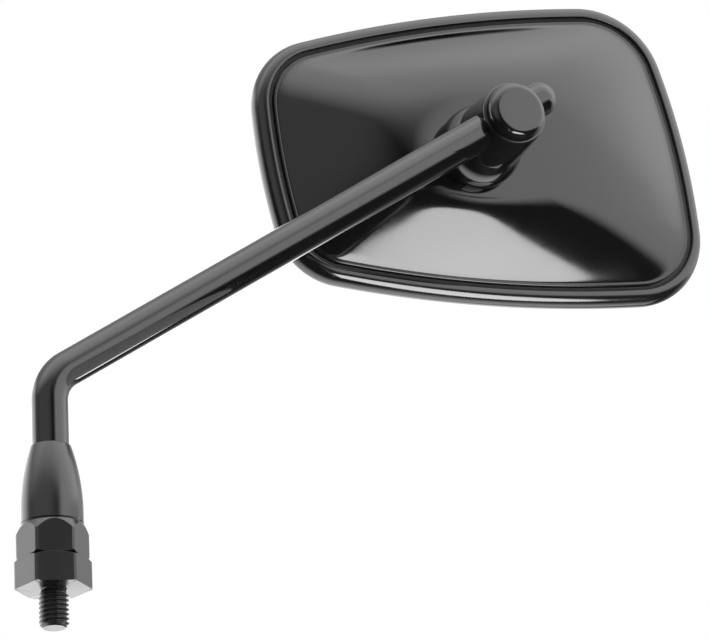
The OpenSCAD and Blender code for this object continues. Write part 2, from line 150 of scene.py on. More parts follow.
@dataclass
class Surface:
    """Nodes that vary a finish over its surface, from coordinates in metres."""

    finish: Finish
    tree: Tree
    place: Socket

    def drift(self) -> dict[str, Socket]:
        """Varies the roughness, the colour and the relief.

        Returns:
            The socket for each input of the shader.
        """
        finish = self.finish
        rough = add_node(self.tree, "ShaderNodeMapRange", {
            "Value": self._noise(self.place, finish.smudge_mm, 3.0), "From Min": 0.3,
            "From Max": 0.7, "To Min": max(0.0, finish.roughness - finish.smudge),
            "To Max": finish.roughness + finish.smudge})
        tone = add_node(self.tree, "ShaderNodeMix", {
            "A": (*((1 - finish.speck) * c for c in finish.grey), 1),
            "B": (*(min(1.0, (1 + finish.speck) * c) for c in finish.grey), 1),
            "Factor": self._noise(self.place, finish.speck_mm, 5.0)}, data_type="RGBA")
        bump = add_node(self.tree, "ShaderNodeBump", {
            "Height": self._relief(), "Strength": 1.0, "Distance": finish.grain_depth_mm * MM})
        return {"Roughness": rough.outputs["Result"], "Base Color": tone.outputs["Result"],
                "Normal": bump.outputs["Normal"]}

    def _noise(self, place: Socket, feature_mm: float, detail: float) -> Socket:
        """Adds a noise pattern.

        Args:
            place: coordinates in metres.
            feature_mm: size of a feature.
            detail: octaves of finer noise.

        Returns:
            The socket with the pattern, from 0 to 1 and mostly from 0.3 to 0.7.
        """
        inputs = {"Vector": place, "Scale": 1 / (feature_mm * MM), "Detail": detail}
        return add_node(self.tree, "ShaderNodeTexNoise", inputs).outputs["Fac"]

    def _relief(self) -> Socket:
        """Gives the height of the fine relief."""
        if self.finish.grain is Grain.PEBBLE:
            cells = {"Vector": self.place, "Scale": 1 / (self.finish.grain_mm * MM)}
            return add_node(self.tree, "ShaderNodeTexVoronoi", cells).outputs["Distance"]
        turned = self.finish.grain is not Grain.PEEL
        return self._noise(self._round_axis() if turned else self.place, self.finish.grain_mm, 2.0)

    def _round_axis(self) -> Socket:
        """Gives coordinates as (radius, height, 0), so that a pattern runs in rings."""
        sideways = self.finish.grain is Grain.TURNED_SIDEWAYS
        (first, second), along = ("XZ", "Y") if sideways else ("XY", "Z")
        moved = add_node(self.tree, "ShaderNodeMapping", {
            "Vector": self.place, "Location": Joint().centre_m() * -1 if sideways else (0, 0, 0)})
        parts = add_node(self.tree, "ShaderNodeSeparateXYZ",
                         {"Vector": moved.outputs["Vector"]}).outputs
        flat = add_node(self.tree, "ShaderNodeCombineXYZ", {"X": parts[first], "Y": parts[second]})
        radius = add_node(self.tree, "ShaderNodeVectorMath", {0: flat.outputs["Vector"]},
                          operation="LENGTH")
        rings = {"X": radius.outputs["Value"], "Y": parts[along]}
        return add_node(self.tree, "ShaderNodeCombineXYZ", rings).outputs["Vector"]


GLOSS_BLACK = Finish("gloss_black_coating", (0.002, 0.002, 0.002), 0.08, grain_mm=1.2,
                     grain_depth_mm=0.0012, smudge=0.03, specular=0.6)
GLOSS_MOULDED = Finish("gloss_black_moulding", (0.002, 0.002, 0.002), 0.10, grain_mm=0.6,
                       grain_depth_mm=0.0015, smudge=0.04)
SATIN_MOULDED = Finish("satin_black_moulding", (0.003, 0.003, 0.003), 0.13, grain_mm=0.7,
                       grain_depth_mm=0.002, smudge=0.04, specular=0.62)
TURNED_BLACK = Finish("turned_black_steel", (0.006, 0.006, 0.006), 0.24, grain=Grain.TURNED,
                      grain_mm=0.16, grain_depth_mm=0.003, specular=0.6)
ZINC = Finish("bright_zinc", (0.55, 0.56, 0.57), 0.3, metallic=1.0, grain=Grain.TURNED_SIDEWAYS,
              grain_mm=0.2, grain_depth_mm=0.002)
ACETAL = Finish("black_acetal", (0.03, 0.03, 0.03), 0.4, grain_mm=0.5)
SOFT_RUBBER = Finish("soft_rubber", (0.008, 0.008, 0.008), 0.75, grain=Grain.PEBBLE, grain_mm=0.25,
                     grain_depth_mm=0.01, specular=0.2)
SILVERED = Finish("silvered_glass", (0.33, 0.34, 0.345), 0.01, metallic=1.0, grain_mm=30.0,
                  grain_depth_mm=0.0005, smudge=0.005)


def arc(centre: Point2, radius: float, first: float, last: float, steps: int) -> list[Point2]:
    """Samples an arc.

    Args:
        centre: centre of the arc.
        radius: its radius.
        first: starting angle in degrees.
        last: ending angle in degrees.
        steps: number of intervals.

    Returns:
        The points from first to last.
    """
    turns = [math.radians(first + (last - first) * k / steps) for k in range(steps + 1)]
    return [(centre[0] + radius * math.cos(t), centre[1] + radius * math.sin(t)) for t in turns]


def rounded(profile: Sequence[tuple[float, ...]], steps: int = 4) -> list[Point2]:
    """Rounds the corners of an open profile.

    Args:
        profile: points as (x, y) or (x, y, radius), where the radius rounds that corner.
        steps: intervals in each rounding.

    Returns:
        The points of the rounded profile.
    """
    out: list[Point2] = []
    for k, corner in enumerate(profile):
        here = Vector(corner[:2])
        radius = corner[2] if len(corner) > 2 else 0.0
        if radius <= 0 or k in (0, len(profile) - 1):
            out.append((here.x, here.y))
            continue
        before = Vector(profile[k - 1][:2]) - here
        behind = Vector(profile[k + 1][:2]) - here
        half = before.angle(behind) / 2
        reach = min(radius / math.tan(half), 0.49 * before.length, 0.49 * behind.length)
        start = here + before.normalized() * reach
        end = here + behind.normalized() * reach
        for j in range(steps + 1):
            t = j / steps
            p = start * (1 - t) ** 2 + here * 2 * t * (1 - t) + end * t ** 2
            out.append((p.x, p.y))
    return out


def skin(name: str, rings: Sequence[Ring], place: Matrix, finish: Finish,
         close: Close = Close.CAPS, sharp_deg: float = 35.0) -> Object:
    """Joins rings of points into one closed mesh with smooth shading.

    Args:
        name: name of the piece.
        rings: rings of equal length in millimetres; a ring of one point closes to that point.
        place: from the ring's frame to the row's, in metres.
        finish: the surface finish.
        close: whether the ends get caps, or the last ring joins the first.
        sharp_deg: edges that turn more than this stay sharp.

    Returns:
        The new object, at the origin, with its place in its mesh.
    """
    made = bmesh.new()
    rows = [[made.verts.new(place @ Vector(p)) for p in ring] for ring in rings]
    pairs = list(zip(rows, rows[1:]))
    if close is Close.LOOP:
        pairs.append((rows[-1], rows[0]))
    for low, high in pairs:
        count = max(len(low), len(high))
        for k in range(count):
            j = (k + 1) % count
            corners = [low[k % len(low)], low[j % len(low)], high[j % len(high)], high[k % len(high)]]
            unique = list(dict.fromkeys(corners))
            if len(unique) > 2:
                made.faces.new(unique)
    if close is Close.CAPS:
        for row in (rows[0], rows[-1]):
            if len(row) > 2:
                made.faces.new(row)
    bmesh.ops.recalc_face_normals(made, faces=made.faces)
    mesh = bpy.data.meshes.new(name)
    made.to_mesh(mesh)
    made.free()
    for polygon in mesh.polygons:
        polygon.use_smooth = True
    mesh.set_sharp_from_angle(angle=math.radians(sharp_deg))
    mesh.materials.append(finish.material())
    piece = bpy.data.objects.new(name, mesh)
    bpy.context.scene.collection.objects.link(piece)
    return piece


def revolve(profile: Sequence[Point2], sides: int = 128) -> list[Ring]:
    """Turns a profile of (radius, height) points about the local Z axis.

    Args:
        profile: the section, in millimetres.
        sides: points in a ring.

    Returns:
        One ring for each point, or a single point where the radius is 0.
    """
    rings: list[Ring] = []
    for radius, height in profile:
        if radius < 1e-6:
            rings.append([(0.0, 0.0, height)])
            continue
        turns = [2 * math.pi * k / sides for k in range(sides)]
        rings.append([(radius * math.cos(t), radius * math.sin(t), height) for t in turns])
    return rings


def apply_modifiers(piece: Object) -> None:
    """Makes a piece's modifiers part of its mesh."""
    graph = bpy.context.evaluated_depsgraph_get()
    mesh = bpy.data.meshes.new_from_object(piece.evaluated_get(graph))
    piece.modifiers.clear()
    piece.data = mesh


@dataclass(frozen=True)
class Thread:
    """An external screw thread, as a radius that winds about the axis.

    Attributes:
        radius: crest radius in millimetres.
        pitch: rise of one turn.
        depth: crest to root.
        flat: share of the pitch that the crest takes.
    """

    radius: float
    pitch: float
    depth: float
    flat: float = 0.16

    def at(self, height: float, turn: float) -> float:
        """Gives the thread's radius at a height and an angle in radians."""
        phase = (height / self.pitch - turn / (2 * math.pi)) % 1.0
        away = abs(phase - 0.5) * 2
        slope = (away - self.flat) / (1 - 2 * self.flat)
        return self.radius - self.depth * min(1.0, max(0.0, slope))


@dataclass
class Joint:
    """Where the knuckle and the ball sit, in millimetres of the row frame."""

    bend_height: float = 58.0
    arm_run: float = 160.8
    arm_angle: float = 33.0
    offset: float = 0.9
    ball_back: float = 19.1

    def foot(self) -> Vector:
        """Gives the point of the knuckle's centre line beside the rod."""
        a = math.radians(self.arm_angle)
        return Vector((self.arm_run * math.cos(a) + self.offset * math.sin(a), 0.0,
                       self.bend_height + self.arm_run * math.sin(a) - self.offset * math.cos(a)))

    def centre_m(self) -> Vector:
        """Gives the knuckle's centre in metres."""
        return self.foot() * MM

    def at_knuckle(self) -> Matrix:
        """Gives the knuckle's frame: z toward the cap, y up, in metres."""
        turn = Matrix.Rotation(math.pi / 2, 4, "X")
        return Matrix.Translation(self.centre_m()) @ turn @ Matrix.Scale(MM, 4)

    def at_ball(self) -> Matrix:
        """Gives the same frame with its origin at the ball's centre."""
        return self.at_knuckle() @ Matrix.Translation((0, 0, -self.ball_back))


@dataclass
class Foot:
    """The adapter with its stud, and the bullet-shaped lock nut."""

    stud: Thread = Thread(4.0, 1.25, 0.68)
    stud_length: float = 10.5
    adapter_af: float = 18.0
    adapter_height: float = 8.1
    nut_af: float = 17.0
    nut_corner_height: float = 6.2
    nut_hex_height: float = 9.1
    bullet_height: float = 22.0
    bullet_skirt: float = 3.8
    bullet_radius: float = 8.4
    bullet_top_radius: float = 5.45
    bore_radius: float = 5.1
    hex_turn: float = -12.5
    neck: float = 0.25
    edge: float = 0.22
    hole_radius: float = 4.75
    hole_floor: float = 1.4
    stud_chamfer: float = 0.75
    stud_plain: float = 1.5
    thread_end: float = 0.5
    thread_step: float = 0.06
    sides: int = 240

    def build(self) -> list[Object]:
        """Builds both pieces.

        Returns:
            The adapter and the lock nut.
        """
        return [self._adapter(), self._lock_nut()]

    def _turns(self) -> list[float]:
        """Gives the angles of a ring's points in radians."""
        return [2 * math.pi * k / self.sides + math.radians(self.hex_turn) for k in range(self.sides)]

    def _hex_radius(self, af: float, turn: float) -> float:
        """Gives the radius of a hexagon with slightly rounded corners at an angle in radians."""
        sixth = math.pi / 3
        off = (turn - math.radians(self.hex_turn) + sixth / 2) % sixth - sixth / 2
        away = sixth / 2 - abs(off)
        sharp = af / 2 / math.cos(away)
        corner = af / 2 / math.cos(sixth / 2) - 0.16
        blend = 0.06
        return -blend * math.log(math.exp(-sharp / blend) + math.exp(-corner / blend))

    def _hex_rings(self, af: float, low: Callable[[float], float],
                   high: Callable[[float], float], levels: Sequence[float]) -> list[Ring]:
        """Cuts a hexagon's side wall between two cones.

        Args:
            af: width across flats.
            low: height of the lower cone at a radius.
            high: height of the upper cone at a radius.
            levels: shares of the way from the lower cut to the upper one.

        Returns:
            The rings of the side wall.
        """
        rings = []
        for share in levels:
            ring = []
            for t in self._turns():
                r = self._hex_radius(af, t)
                z = low(r) + (high(r) - low(r)) * share
                ring.append((r * math.cos(t), r * math.sin(t), z))
            rings.append(ring)
        return rings

    def _round(self, radius: float, height: float) -> Ring:
        """Gives a plain ring that matches the hexagon's rings in count and start."""
        return [(radius * math.cos(t), radius * math.sin(t), height) for t in self._turns()]

    def _softened(self, piece: Object) -> Object:
        """Breaks the sharp edges of a hexagonal piece and gives it back."""
        bevel = piece.modifiers.new("edges", "BEVEL")
        bevel.width = self.edge * MM
        bevel.segments = 3
        bevel.limit_method = "ANGLE"
        bevel.angle_limit = math.radians(17)
        bevel.harden_normals = True
        return piece

    def _adapter(self) -> Object:
        """Builds the hexagon and its stud as one piece."""
        corner = self.adapter_af / 2 / math.cos(math.pi / 6)
        inner = self.adapter_af / 2 - 0.3
        slope = math.tan(math.radians(28))
        height = self.adapter_height

        def low(r: float) -> float:
            return max(0.0, r - corner + 0.3)

        def high(r: float) -> float:
            return height - max(0.0, r - inner) * slope

        end = -self.stud_length
        root = self.stud.radius - self.stud.depth
        rings: list[Ring] = [[(0.0, 0.0, end)], self._round(root - 0.35, end)]
        count = int((self.stud_length - 1.1) / self.thread_step)
        for k in range(count + 1):
            z = end + k * self.thread_step
            limit = root - 0.3 + (z - end) * (self.stud.depth + 0.3) / self.stud_chamfer
            depth = min(1.0, max(0.0, 1 - (z + self.stud_plain) / self.thread_end))
            radii = [(min(limit, root + (self.stud.at(z, t) - root) * depth), t)
                     for t in self._turns()]
            rings.append([(r * math.cos(t), r * math.sin(t), z) for r, t in radii])
        rings += [self._round(root, -0.35), self._round(root + 0.35, 0.0),
                  self._round(corner - 1.6, 0.0)]
        rings += self._hex_rings(self.adapter_af, low, high, (0.0, 0.5, 1.0))
        mouth = 0.65
        rings += [self._round(inner, height), self._round(self.hole_radius + mouth, height),
                  self._round(self.hole_radius, height - 0.6),
                  self._round(self.hole_radius, self.hole_floor), [(0.0, 0.0, self.hole_floor)]]
        piece = skin("adapter_turned", rings, Matrix.Scale(MM, 4), TURNED_BLACK)
        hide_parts("adapter")
        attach(piece, "mount")
        return self._softened(piece)

    def _bullet(self, height: float) -> float:
        """Gives the bullet's radius at a height above its foot."""
        drop = self.bullet_radius - self.bullet_top_radius
        rise = self.bullet_height - self.bullet_skirt
        bow = (rise * rise + drop * drop) / (2 * drop)
        up = max(0.0, height - self.bullet_skirt)
        return self.bullet_radius - bow + math.sqrt(bow * bow - up * up)

    def _lock_nut(self) -> Object:
        """Builds the hexagon and its bullet as one piece."""
        base = self.adapter_height
        corner = self.nut_af / 2 / math.cos(math.pi / 6)
        slope = (self.nut_hex_height - self.nut_corner_height) / (corner - self.bullet_radius)
        foot = base + self.nut_hex_height

        def low(r: float) -> float:
            return base + max(0.0, r - corner + 0.6)

        def high(r: float) -> float:
            return base + self.nut_corner_height + (corner - r) * slope

        rings = [self._round(self.bore_radius, base), self._round(corner - 1.7, base)]
        rings += self._hex_rings(self.nut_af, low, high, (0.0, 0.5, 1.0))
        rings += [self._round(self.bullet_radius, foot),
                  self._round(self.bullet_radius - self.neck, foot + 0.06),
                  self._round(self.bullet_radius - self.neck, foot + self.neck + 0.05),
                  self._round(self.bullet_radius - 0.06, foot + 2 * self.neck),
                  self._round(self.bullet_radius, foot + 2 * self.neck + 0.12)]
        steps = 40
        for k in range(steps + 1):
            z = 2 * self.neck + 0.3 + (self.bullet_height - 0.55 - 2 * self.neck) * k / steps
            rings.append(self._round(self._bullet(z), foot + z))
        top = foot + self.bullet_height
        rings += [self._round(self.bullet_top_radius - 0.04, top - 0.08),
                  self._round(self.bullet_top_radius - 0.14, top),
                  self._round(self.bore_radius + 0.02, top),
                  self._round(self.bore_radius, top - 0.05), self._round(self.bore_radius, base + 13)]
        piece = skin("lock_nut_turned", rings, Matrix.Scale(MM, 4), TURNED_BLACK, Close.LOOP)
        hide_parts("lock_nut")
        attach(piece, "mount")
        return self._softened(piece)


@dataclass
class Stem:
    """The bent rod."""

    joint: Joint = field(default_factory=Joint)
    radius: float = 5.0
    bend_radius: float = 11.2
    overhang: float = 13.0
    foot_z: float = 2.3
    thread_top: float = 22.0
    thread: Thread = Thread(4.95, 1.5, 0.75)
    sides: int = 96

    def _ring(self, centre: Vector, tilt: float, radius: Callable[[float], float]) -> Ring:
        """Gives one ring across the rod.

        Args:
            centre: the ring's centre.
            tilt: the rod's direction, in radians above the horizontal.
            radius: radius at an angle about the rod.

        Returns:
            The ring's points.
        """
        side = Vector((math.sin(tilt), 0.0, -math.cos(tilt)))
        ring = []
        for k in range(self.sides):
            t = 2 * math.pi * k / self.sides
            p = centre + (side * math.cos(t) + Vector((0, 1, 0)) * math.sin(t)) * radius(t)
            ring.append(tuple(p))
        return ring

    def build(self) -> list[Object]:
        """Builds the rod from its threaded foot to its round end.

        Returns:
            The rod.
        """
        up = math.pi / 2
        low = math.radians(self.joint.arm_angle)
        tangent = self.bend_radius * math.tan((up - low) / 2)
        rings: list[Ring] = [[(0.0, 0.0, self.foot_z)]]
        step = 0.12
        count = int((self.thread_top - self.foot_z) / step)
        for k in range(count + 1):
            z = self.foot_z + k * step
            rings.append(self._ring(Vector((0, 0, z)), up, lambda t, z=z: self.thread.at(z, t)))
        rings.append(self._ring(Vector((0, 0, self.thread_top + 0.4)), up, lambda t: self.radius))
        start = self.joint.bend_height - tangent
        turns = 36
        for k in range(turns + 1):
            tilt = up + (low - up) * k / turns
            side = Vector((math.sin(tilt), 0.0, -math.cos(tilt)))
            middle = Vector((self.bend_radius, 0.0, start))
            rings.append(self._ring(middle - side * self.bend_radius, tilt, lambda t: self.radius))
        along = Vector((math.cos(low), 0.0, math.sin(low)))
        end = Vector((0, 0, self.joint.bend_height)) + along * (self.joint.arm_run + self.overhang)
        dome = 18
        for k in range(dome):
            a = math.pi / 2 * k / dome
            rings.append(self._ring(end + along * self.radius * math.sin(a), low,
                                    lambda t, a=a: self.radius * math.cos(a)))
        rings.append([tuple(end + along * self.radius)])
        piece = skin("stem_coated", rings, Matrix.Scale(MM, 4), GLOSS_BLACK)
        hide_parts("stem_rod")
        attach(piece, "stem")
        return [piece]


@dataclass
class Knuckle:
    """The turned knuckle and its cap."""

    joint: Joint = field(default_factory=Joint)
    top_radius: float = 9.3
    low_radius: float = 10.1
    front: float = 7.1
    back: float = 10.1
    edge: float = 0.9
    hollow_radius: float = 12.4
    shoulder: float = 12.5
    neck_radius: float = 3.7
    recess_radius: float = 5.2
    recess_depth: float = 1.0
    shank_radius: float = 2.6
    ring_radii: Point2 = (6.1, 6.9)
    ring_gap: float = 0.05
    ring_depth: float = 0.7
    rod_radius: float = 5.0
    cap_radius: float = 8.4
    cap_height: float = 3.4
    cap_edge: float = 2.4

    def build(self) -> list[Object]:
        """Builds the knuckle and the cap.

        Returns:
            Both pieces.
        """
        return [self._body(), self._cap()]

    def _body(self) -> Object:
        """Builds the turned body with its cross bore."""
        ball = -self.joint.ball_back
        reach = self.hollow_radius
        rim = math.degrees(math.acos((self.joint.ball_back - self.back) / reach))
        spot = math.degrees(math.asin(self.neck_radius / reach))
        hollow = arc((0.0, ball), reach, 90 - spot, 90 - rim, 24)
        groove_in, groove_out = self.ring_radii[0] - self.ring_gap, self.ring_radii[1] + self.ring_gap
        groove_floor = self.front - self.ring_depth - 0.1
        outer = rounded([(hollow[-1][0], -self.back), (self.low_radius, -self.back, 0.45),
                         (self.top_radius, self.front, self.edge), (groove_out, self.front, 0.1),
                         (groove_out, groove_floor)], 8)
        seat = ball + self.shoulder
        floor = self.front - self.recess_depth
        inner = [(groove_in, groove_floor), (groove_in, self.front), (self.recess_radius, self.front),
                 (self.recess_radius, floor), (self.shank_radius, floor), (self.shank_radius, seat),
                 (self.neck_radius, seat)]
        piece = skin("knuckle_turned", revolve([*hollow, *outer, *inner], 160),
                     self.joint.at_knuckle(), GLOSS_BLACK, Close.LOOP)
        self._cross_bore(piece)
        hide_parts("knuckle_body")
        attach(piece, "stem")
        return piece

    def _cross_bore(self, piece: Object) -> None:
        """Cuts the bore for the rod through the knuckle's body."""
        along = Matrix.Rotation(math.radians(self.joint.arm_angle), 4, "Z")
        lift = Matrix.Translation((0, self.joint.offset, 0))
        lay = Matrix.Rotation(math.pi / 2, 4, "Y")
        place = self.joint.at_knuckle() @ along @ lift @ lay
        bore = self.rod_radius + 0.05
        cutter = skin("rod_bore", revolve([(0, -20), (bore, -20), (bore, 20), (0, 20)], 128),
                      place, GLOSS_BLACK)
        cut = piece.modifiers.new("bore", "BOOLEAN")
        cut.operation = "DIFFERENCE"
        cut.solver = "EXACT"
        cut.object = cutter
        apply_modifiers(piece)
        bpy.data.objects.remove(cutter)
        piece.data.set_sharp_from_angle(angle=math.radians(35))

    def _cap(self) -> Object:
        """Builds the cap that covers the knuckle's nut."""
        skirt = self.cap_height - self.cap_edge
        side = self.cap_radius - 0.1
        roof, (ring_in, ring_out) = 2.1, self.ring_radii
        profile = [(0.0, roof), (self.recess_radius, roof), (self.recess_radius, 0.0), (ring_in, 0.0),
                   (ring_in, -self.ring_depth), (ring_out, -self.ring_depth), (ring_out, 0.02),
                   (self.cap_radius - 0.2, 0.02), (self.cap_radius, 0.2), (self.cap_radius, 0.4),
                   (side, skirt)]
        profile += arc((side - self.cap_edge, skirt), self.cap_edge, 0, 90, 16)[1:]
        profile.append((0.0, self.cap_height + 0.02))
        place = self.joint.at_knuckle() @ Matrix.Translation((0, 0, self.front))
        piece = skin("cap_turned", revolve(profile, 128), place, GLOSS_BLACK)
        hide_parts("knuckle_cap")
        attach(piece, "stem")
        return piece


@dataclass
class Outline:
    """The head's outline: four corner arcs joined by four bulging sides.

    Attributes:
        corners: centre right of the ball, centre above it and radius of each corner.
        bulges: radius of the side after each corner.
        corner_steps: intervals in a corner.
        side_steps: intervals in a side.
    """

    corners: tuple[Point3, ...] = ((44.9, 32.7, 24.5), (-37.7, 16.2, 22.0),
                                   (-33.9, -15.9, 20.6), (55.2, -12.1, 22.9))
    bulges: tuple[float, ...] = (385.0, 192.0, 403.0, 206.0)
    corner_steps: int = 48
    side_steps: int = 40

    def _side_centre(self, k: int) -> Vector:
        """Gives the centre of the side after corner k."""
        a, b = self.corners[k], self.corners[(k + 1) % 4]
        run = Vector((b[0] - a[0], b[1] - a[1]))
        ra, rb = self.bulges[k] - a[2], self.bulges[k] - b[2]
        along = (ra * ra - rb * rb + run.length ** 2) / (2 * run.length)
        high = math.sqrt(ra * ra - along * along)
        unit = run.normalized()
        return Vector((a[0], a[1])) + unit * along + Vector((-unit.y, unit.x)) * high

    def stations(self) -> list[tuple[float, float, float, float]]:
        """Gives (centre x, centre y, radius, angle in radians) round the outline."""
        sides = [self._side_centre(k) for k in range(4)]
        out = []
        for k in range(4):
            corner, following = self.corners[k], self.corners[(k + 1) % 4]
            here, there = Vector(corner[:2]), Vector(following[:2])
            first = math.atan2(*reversed(here - sides[k - 1]))
            middle = math.atan2(*reversed(here - sides[k]))
            middle = first + (middle - first) % (2 * math.pi)
            last = math.atan2(*reversed(there - sides[k]))
            last = middle + (last - middle) % (2 * math.pi)
            for j in range(self.corner_steps):
                out.append((*corner, first + (middle - first) * j / self.corner_steps))
            for j in range(self.side_steps):
                t = middle + (last - middle) * j / self.side_steps
                out.append((sides[k].x, sides[k].y, self.bulges[k], t))
        return out

    def rim(self, inset: float) -> list[Point2]:
        """Gives the outline moved inward.

        Args:
            inset: distance inward in millimetres.

        Returns:
            The points, counter-clockwise from the upper right corner.
        """
        return [(x + (r - inset) * math.cos(t), y + (r - inset) * math.sin(t))
                for x, y, r, t in self.stations()]

    def ring(self, inset: float, height: float) -> Ring:
        """Gives the outline moved inward, at a height."""
        return [(x, y, height) for x, y in self.rim(inset)]


@dataclass
class Head:
    """The shell, the bezel, the rim gasket and the dome round the ball."""

    joint: Joint = field(default_factory=Joint)
    outline: Outline = field(default_factory=Outline)
    bezel_back: float = 20.6
    dome_rise: float = 16.6
    dome_power: float = 2.4
    oval_half: Point2 = (60.0, 38.0)
    oval_centre: Point2 = (9.0, 9.0)
    oval_tilt: float = 10.0
    shell_wall: float = 2.0
    land: float = 4.4
    dome_radius: float = 11.9
    dome_wall: float = 1.7
    opening: float = 47.0
    flange_radius: float = 18.6
    flange: float = 2.2
    bezel_face: float = 3.9
    bezel_turns: tuple[Point3, ...] = ((0, 25, 3.9), (25, 57, 2.1), (57, 72, 6.3), (72, 90, 5.0))
    bezel_thickness: float = 1.4
    bezel_wall: float = 1.9
    groove: float = 1.5
    border: float = 1.3
    foot_fillet: float = 0.5
    lip: float = 1.0
    gasket: float = 0.4
    pad: float = 0.4
    glass: float = 1.6
    front_lip: float = 0.7
    front_lip_width: float = 2.9
    crown_end: float = 0.955
    crown_steps: int = 56

    def build(self) -> list[Object]:
        """Builds the head's visible pieces.

        Returns:
            The shell, the bezel, the rim gasket and the housing.
        """
        return [self._shell(), self._bezel(), self._rim_gasket(), self._housing()]

    @property
    def crown(self) -> float:
        """Height of the crown, from the ball's centre."""
        return self.dome_rise - self.bezel_back

    @property
    def hole(self) -> float:
        """Radius of the hole round the dome."""
        return math.sqrt(self.dome_radius ** 2 - self.crown ** 2) + 0.1

    def _level(self, s: float) -> float:
        """Gives the crown's height, where s runs from the hole at 0 to the border at 1."""
        return -self.bezel_back + self.dome_rise * (1 - s ** self.dome_power)

    def _oval_reach(self, p: Point2) -> float:
        """Gives the distance from the joint's axis to the oval, kept to the border's, toward p."""
        turn = Matrix.Rotation(-math.radians(self.oval_tilt), 2)
        length, width = self.oval_half
        toward = turn @ Vector(p).normalized()
        middle = turn @ Vector(self.oval_centre)
        u = Vector((toward.x / length, toward.y / width))
        v = Vector((middle.x / length, middle.y / width))
        reach = (u.dot(v) + math.sqrt(u.dot(v) ** 2 - u.dot(u) * (v.dot(v) - 1))) / u.dot(u)
        power = 14
        return (reach ** -power + math.hypot(*p) ** -power) ** (-1 / power)

    def _crown_point(self, p: Point2, s: float) -> Point2:
        """Gives the crown's point toward p; its contours start as the oval and end as the border."""
        reach = s * s * math.hypot(*p) + (1 - s * s) * self._oval_reach(p)
        share = (self._start + s * (reach - self._start)) / math.hypot(*p)
        return (p[0] * share, p[1] * share)

    def _crown_share(self, p: Point2, radius: float) -> float:
        """Gives the s at which the crown is about this far from the joint's axis, toward p."""
        return (radius - self._start) / (self._oval_reach(p) - self._start)

    def _inner_level(self, p: Point2, s: float) -> float:
        """Gives the inner wall's height under the crown."""
        oval = self._oval_reach(p)
        growth = oval + 3 * s * s * (math.hypot(*p) - oval) - self._start
        slope = self.dome_rise * self.dome_power * s ** (self.dome_power - 1) / growth
        return max(self._pad_level, self._level(s) - self.shell_wall * math.hypot(1, slope))

    @property
    def _start(self) -> float:
        """Radius from which the crown's contours grow."""
        return self.hole - 0.4

    @property
    def _gasket_level(self) -> float:
        """Height of the gasket's back face."""
        return -self.bezel_back - self.bezel_thickness

    @property
    def _pad_level(self) -> float:
        """Height of the glass pad's back face."""
        return self._gasket_level - self.gasket - self.lip

    def _piece(self, name: str, rings: Sequence[Ring], finish: Finish, node: str,
               sharp_deg: float = 35.0) -> Object:
        """Makes one closed piece of the head in place of its solid.

        Args:
            name: name of the piece.
            rings: rings round its section.
            finish: its finish.
            node: the solid that it stands for.
            sharp_deg: edges that turn more than this stay sharp.

        Returns:
            The piece.
        """
        piece = skin(name, rings, self.joint.at_ball(), finish, Close.LOOP, sharp_deg)
        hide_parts(node)
        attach(piece, "head")
        return piece

    def _shell(self) -> Object:
        """Builds the moulded back."""
        o = self.outline
        step_in = self.bezel_face + self.groove
        inset = step_in + self.border
        foot = inset - self.foot_fillet
        edge = rounded([(foot, -self.bezel_back), (step_in, -self.bezel_back, 0.6),
                        (step_in, self._gasket_level - self.gasket)], 6)
        base = o.rim(inset)
        rings = []
        firsts = [self._crown_share(p, self.hole) for p in base]
        for k in range(self.crown_steps + 1):
            shares = [first + (self.crown_end - first) * k / self.crown_steps for first in firsts]
            rings.append([(*self._crown_point(p, s), self._level(s)) for p, s in zip(base, shares)])
        corner, flat = o.ring(inset, -self.bezel_back), o.ring(foot, -self.bezel_back)
        for t in (0.2, 0.4, 0.6, 0.8):
            rings.append([tuple((1 - t) ** 2 * a + 2 * t * (1 - t) * b + t * t * c
                                for a, b, c in zip(*points))
                          for points in zip(rings[self.crown_steps], corner, flat)])
        rings += [flat, o.ring(foot - 0.05, -self.bezel_back)]
        rings += [o.ring(i, z) for i, z in edge[1:]]
        lip_in = self.bezel_wall + 0.1
        rings += [o.ring(lip_in, self._gasket_level - self.gasket), o.ring(lip_in, self._pad_level)]
        inner_steps = 16
        land_radius = self.flange_radius + 0.6
        for k in range(inner_steps, -1, -1):
            row = []
            for p in base:
                start = self._crown_share(p, land_radius + 0.4)
                s = start + (1 - start) * k / inner_steps
                row.append((*self._crown_point(p, s), self._inner_level(p, s)))
            rings.append(row)
        for radius in (land_radius, self.hole):
            rings.append([(x * radius / math.hypot(x, y), y * radius / math.hypot(x, y),
                           self.crown - self.land) for x, y in base])
        return self._piece("shell_moulded", rings, GLOSS_MOULDED, "shell", 50)

    def _bezel_corner(self) -> list[Point2]:
        """Gives the bezel's back corner as (inset, height), from its face to its wall."""
        steps = 8
        angles = [(math.radians(a + (b - a) * k / steps), math.radians(a + (b - a) * (k + 1) / steps), r)
                  for a, b, r in self.bezel_turns for k in range(steps)]
        inset = sum(r * (math.sin(t1) - math.sin(t0)) for t0, t1, r in angles)
        height = -self.bezel_back
        corner = [(inset, height)]
        for t0, t1, r in angles:
            inset -= r * (math.sin(t1) - math.sin(t0))
            height -= r * (math.cos(t0) - math.cos(t1))
            corner.append((inset, height))
        return corner

